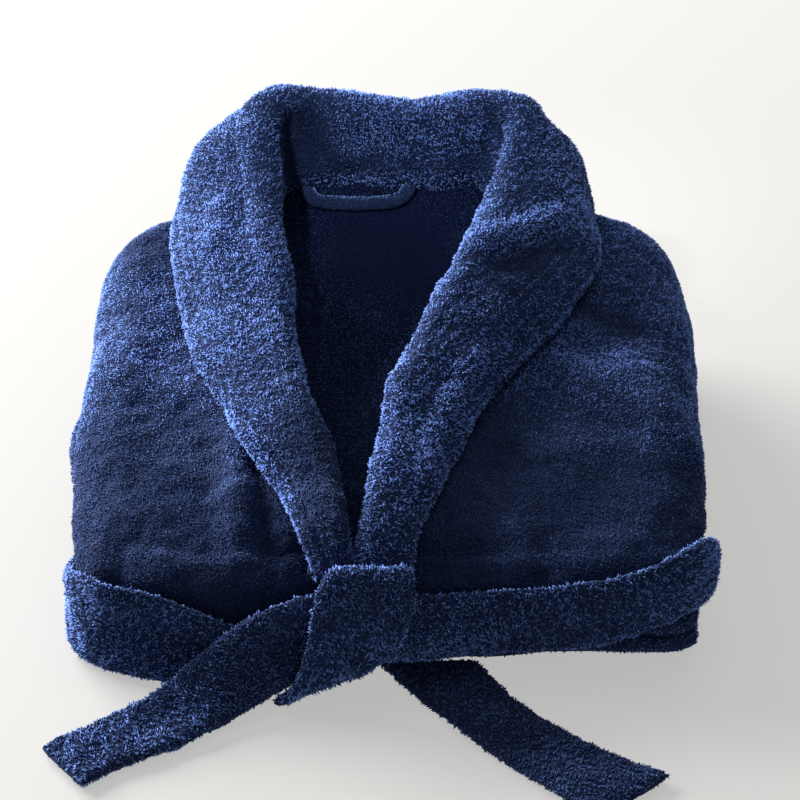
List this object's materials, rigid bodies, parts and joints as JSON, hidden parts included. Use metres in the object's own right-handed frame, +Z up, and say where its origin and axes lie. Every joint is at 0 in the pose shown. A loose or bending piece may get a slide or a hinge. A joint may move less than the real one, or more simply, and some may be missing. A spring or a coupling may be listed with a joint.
{
  "type": "folded terry kimono robe",
  "caption": "Terry kimono robe folded into a packet, face up, with a shawl collar standing open in a V, a hanging loop and its own belt tied in front.",
  "frame": {"origin": "on the flat underside of the folded packet, under the middle of the body", "axes": "+Z up from the surface it lies on, -Y towards the belt knot, +X towards the wearer's left side"},
  "size_m": [0.4709, 0.6696, 0.2238],
  "materials": {
    "body_terry": "looped cotton terry, navy blue",
    "collar_terry": "looped cotton terry, double, navy blue",
    "loop_terry": "self cloth folded to a narrow band, navy blue",
    "belt_terry": "looped cotton terry, double, navy blue"
  },
  "bodies": {
    "root": {"skirt": "body_terry", "sleeve_right": "body_terry", "sleeve_left": "body_terry", "back": "body_terry", "front_right": "body_terry", "front_left": "body_terry", "collar": "collar_terry", "hanger_loop": "loop_terry", "belt_wrap_right": "belt_terry", "belt_wrap_left": "belt_terry", "belt_knot": "belt_terry", "belt_tail_right": "belt_terry", "belt_tail_left": "belt_terry"}
  },
  "joints": []
}
